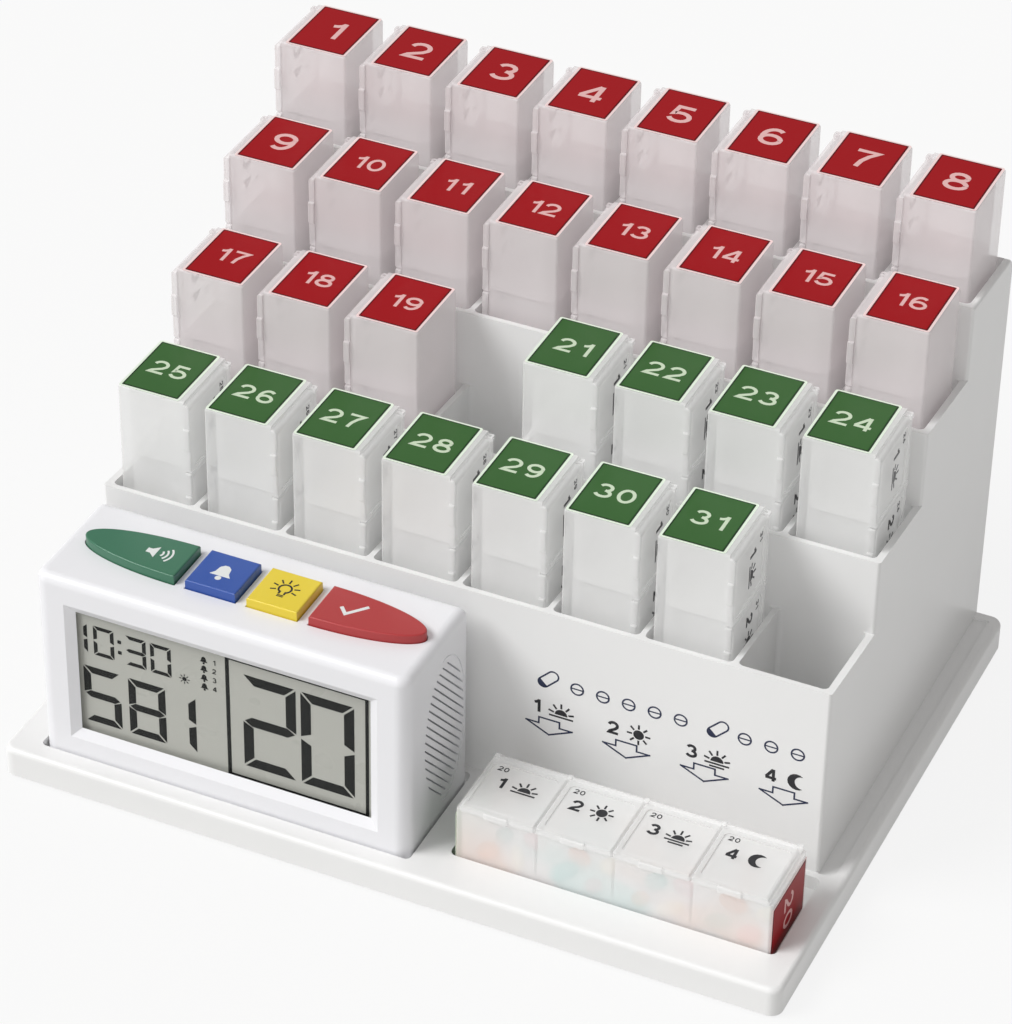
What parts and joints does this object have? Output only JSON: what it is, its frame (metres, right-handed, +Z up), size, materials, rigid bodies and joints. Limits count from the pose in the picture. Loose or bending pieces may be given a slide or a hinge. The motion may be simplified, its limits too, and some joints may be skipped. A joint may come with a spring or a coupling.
{
  "type": "alarm pill organizer",
  "caption": "Stepped rack of upright numbered day boxes on a base tray, with a talking alarm clock and a pocket for the box of the day.",
  "frame": {"origin": "middle of the base, at the bottom of the feet", "axes": "+X to the right along the width, +Y to the back, +Z up"},
  "size_m": [0.296, 0.2264, 0.2055],
  "materials": {
    "white_plastic": "smooth satin white moulding",
    "clock_plastic": "fine satin white moulding",
    "frosted_plastic": "frosted translucent polypropylene",
    "rubber": "matte",
    "steel": "plated",
    "clear_window": "clear polished window",
    "display_glass": "grey-green liquid crystal glass",
    "light_panel": "white diffuser",
    "black_plastic": "matte",
    "circuit_board": "solder mask",
    "green_plastic": "satin",
    "blue_plastic": "satin",
    "yellow_plastic": "satin",
    "red_plastic": "satin",
    "speaker_black": "paper cone in a plastic basket",
    "battery_sleeve": "printed sleeve"
  },
  "bodies": {
    "organizer": {"base_tray": "white_plastic", "pill_rack": "white_plastic", "rubber_feet": "rubber", "rack_screws": "steel"},
    "day_box_01": {"day_box_01": "frosted_plastic"},
    "day_box_02": {"day_box_02": "frosted_plastic"},
    "day_box_03": {"day_box_03": "frosted_plastic"},
    "day_box_04": {"day_box_04": "frosted_plastic"},
    "day_box_05": {"day_box_05": "frosted_plastic"},
    "day_box_06": {"day_box_06": "frosted_plastic"},
    "day_box_07": {"day_box_07": "frosted_plastic"},
    "day_box_08": {"day_box_08": "frosted_plastic"},
    "day_box_09": {"day_box_09": "frosted_plastic"},
    "day_box_10": {"day_box_10": "frosted_plastic"},
    "day_box_11": {"day_box_11": "frosted_plastic"},
    "day_box_12": {"day_box_12": "frosted_plastic"},
    "day_box_13": {"day_box_13": "frosted_plastic"},
    "day_box_14": {"day_box_14": "frosted_plastic"},
    "day_box_15": {"day_box_15": "frosted_plastic"},
    "day_box_16": {"day_box_16": "frosted_plastic"},
    "day_box_17": {"day_box_17": "frosted_plastic"},
    "day_box_18": {"day_box_18": "frosted_plastic"},
    "day_box_19": {"day_box_19": "frosted_plastic"},
    "day_box_21": {"day_box_21": "frosted_plastic"},
    "day_box_22": {"day_box_22": "frosted_plastic"},
    "day_box_23": {"day_box_23": "frosted_plastic"},
    "day_box_24": {"day_box_24": "frosted_plastic"},
    "day_box_25": {"day_box_25": "frosted_plastic"},
    "day_box_26": {"day_box_26": "frosted_plastic"},
    "day_box_27": {"day_box_27": "frosted_plastic"},
    "day_box_28": {"day_box_28": "frosted_plastic"},
    "day_box_29": {"day_box_29": "frosted_plastic"},
    "day_box_30": {"day_box_30": "frosted_plastic"},
    "day_box_31": {"day_box_31": "frosted_plastic"},
    "today_tray": {"today_tray": "frosted_plastic"},
    "today_lid_1": {"today_lid_1": "frosted_plastic"},
    "today_lid_2": {"today_lid_2": "frosted_plastic"},
    "today_lid_3": {"today_lid_3": "frosted_plastic"},
    "today_lid_4": {"today_lid_4": "frosted_plastic"},
    "clock_unit": {"clock_housing": "clock_plastic", "clock_back_cover": "clock_plastic", "clock_screws": "steel", "lcd_window": "clear_window", "lcd_panel": "display_glass", "lcd_frame": "black_plastic", "backlight_panel": "light_panel", "main_board": "circuit_board", "board_screws": "steel", "button_board": "circuit_board", "tact_switches": "black_plastic", "speaker": "speaker_black", "speaker_gasket": "rubber", "batteries": "battery_sleeve", "battery_contacts": "steel"},
    "talk_button": {"talk_button": "green_plastic"},
    "check_button": {"check_button": "blue_plastic"},
    "light_button": {"light_button": "yellow_plastic"},
    "confirm_button": {"confirm_button": "red_plastic"},
    "battery_door": {"battery_door": "clock_plastic"}
  },
  "joints": [
    {"name": "lift_box_01", "type": "slide", "parent": "organizer", "child": "day_box_01", "axis": [0, 0, 1], "range_m": [0, 0.085]},
    {"name": "lift_box_02", "type": "slide", "parent": "organizer", "child": "day_box_02", "axis": [0, 0, 1], "range_m": [0, 0.085]},
    {"name": "lift_box_03", "type": "slide", "parent": "organizer", "child": "day_box_03", "axis": [0, 0, 1], "range_m": [0, 0.085]},
    {"name": "lift_box_04", "type": "slide", "parent": "organizer", "child": "day_box_04", "axis": [0, 0, 1], "range_m": [0, 0.085]},
    {"name": "lift_box_05", "type": "slide", "parent": "organizer", "child": "day_box_05", "axis": [0, 0, 1], "range_m": [0, 0.085]},
    {"name": "lift_box_06", "type": "slide", "parent": "organizer", "child": "day_box_06", "axis": [0, 0, 1], "range_m": [0, 0.085]},
    {"name": "lift_box_07", "type": "slide", "parent": "organizer", "child": "day_box_07", "axis": [0, 0, 1], "range_m": [0, 0.085]},
    {"name": "lift_box_08", "type": "slide", "parent": "organizer", "child": "day_box_08", "axis": [0, 0, 1], "range_m": [0, 0.085]},
    {"name": "lift_box_09", "type": "slide", "parent": "organizer", "child": "day_box_09", "axis": [0, 0, 1], "range_m": [0, 0.085]},
    {"name": "lift_box_10", "type": "slide", "parent": "organizer", "child": "day_box_10", "axis": [0, 0, 1], "range_m": [0, 0.085]},
    {"name": "lift_box_11", "type": "slide", "parent": "organizer", "child": "day_box_11", "axis": [0, 0, 1], "range_m": [0, 0.085]},
    {"name": "lift_box_12", "type": "slide", "parent": "organizer", "child": "day_box_12", "axis": [0, 0, 1], "range_m": [0, 0.085]},
    {"name": "lift_box_13", "type": "slide", "parent": "organizer", "child": "day_box_13", "axis": [0, 0, 1], "range_m": [0, 0.085]},
    {"name": "lift_box_14", "type": "slide", "parent": "organizer", "child": "day_box_14", "axis": [0, 0, 1], "range_m": [0, 0.085]},
    {"name": "lift_box_15", "type": "slide", "parent": "organizer", "child": "day_box_15", "axis": [0, 0, 1], "range_m": [0, 0.085]},
    {"name": "lift_box_16", "type": "slide", "parent": "organizer", "child": "day_box_16", "axis": [0, 0, 1], "range_m": [0, 0.085]},
    {"name": "lift_box_17", "type": "slide", "parent": "organizer", "child": "day_box_17", "axis": [0, 0, 1], "range_m": [0, 0.085]},
    {"name": "lift_box_18", "type": "slide", "parent": "organizer", "child": "day_box_18", "axis": [0, 0, 1], "range_m": [0, 0.085]},
    {"name": "lift_box_19", "type": "slide", "parent": "organizer", "child": "day_box_19", "axis": [0, 0, 1], "range_m": [0, 0.085]},
    {"name": "lift_box_21", "type": "slide", "parent": "organizer", "child": "day_box_21", "axis": [0, 0, 1], "range_m": [0, 0.085]},
    {"name": "lift_box_22", "type": "slide", "parent": "organizer", "child": "day_box_22", "axis": [0, 0, 1], "range_m": [0, 0.085]},
    {"name": "lift_box_23", "type": "slide", "parent": "organizer", "child": "day_box_23", "axis": [0, 0, 1], "range_m": [0, 0.085]},
    {"name": "lift_box_24", "type": "slide", "parent": "organizer", "child": "day_box_24", "axis": [0, 0, 1], "range_m": [0, 0.085]},
    {"name": "lift_box_25", "type": "slide", "parent": "organizer", "child": "day_box_25", "axis": [0, 0, 1], "range_m": [0, 0.085]},
    {"name": "lift_box_26", "type": "slide", "parent": "organizer", "child": "day_box_26", "axis": [0, 0, 1], "range_m": [0, 0.085]},
    {"name": "lift_box_27", "type": "slide", "parent": "organizer", "child": "day_box_27", "axis": [0, 0, 1], "range_m": [0, 0.085]},
    {"name": "lift_box_28", "type": "slide", "parent": "organizer", "child": "day_box_28", "axis": [0, 0, 1], "range_m": [0, 0.085]},
    {"name": "lift_box_29", "type": "slide", "parent": "organizer", "child": "day_box_29", "axis": [0, 0, 1], "range_m": [0, 0.085]},
    {"name": "lift_box_30", "type": "slide", "parent": "organizer", "child": "day_box_30", "axis": [0, 0, 1], "range_m": [0, 0.085]},
    {"name": "lift_box_31", "type": "slide", "parent": "organizer", "child": "day_box_31", "axis": [0, 0, 1], "range_m": [0, 0.085]},
    {"name": "lift_today_box", "type": "slide", "parent": "organizer", "child": "today_tray", "axis": [0, 0, 1], "range_m": [0, 0.04]},
    {"name": "open_lid_1", "type": "hinge", "parent": "today_tray", "child": "today_lid_1", "pos_m": [0.03685, -0.0664, 0.03425], "axis": [-1, 0, 0], "range_deg": [0, 110]},
    {"name": "open_lid_2", "type": "hinge", "parent": "today_tray", "child": "today_lid_2", "pos_m": [0.06535, -0.0664, 0.03425], "axis": [-1, 0, 0], "range_deg": [0, 110]},
    {"name": "open_lid_3", "type": "hinge", "parent": "today_tray", "child": "today_lid_3", "pos_m": [0.09385, -0.0664, 0.03425], "axis": [-1, 0, 0], "range_deg": [0, 110]},
    {"name": "open_lid_4", "type": "hinge", "parent": "today_tray", "child": "today_lid_4", "pos_m": [0.12235, -0.0664, 0.03425], "axis": [-1, 0, 0], "range_deg": [0, 110]},
    {"name": "lift_clock", "type": "slide", "parent": "organizer", "child": "clock_unit", "axis": [0, 0, 1], "range_m": [0, 0.06]},
    {"name": "press_talk", "type": "slide", "parent": "clock_unit", "child": "talk_button", "axis": [0, 0, -1], "range_m": [0, 0.001], "stiffness_N_per_m": 400, "springref_m": -0.0005},
    {"name": "press_check", "type": "slide", "parent": "clock_unit", "child": "check_button", "axis": [0, 0, -1], "range_m": [0, 0.001], "stiffness_N_per_m": 400, "springref_m": -0.0005},
    {"name": "press_light", "type": "slide", "parent": "clock_unit", "child": "light_button", "axis": [0, 0, -1], "range_m": [0, 0.001], "stiffness_N_per_m": 400, "springref_m": -0.0005},
    {"name": "press_confirm", "type": "slide", "parent": "clock_unit", "child": "confirm_button", "axis": [0, 0, -1], "range_m": [0, 0.001], "stiffness_N_per_m": 400, "springref_m": -0.0005},
    {"name": "slide_battery_door", "type": "slide", "parent": "clock_unit", "child": "battery_door", "axis": [0, 0, 1], "range_m": [0, 0.058]}
  ]
}
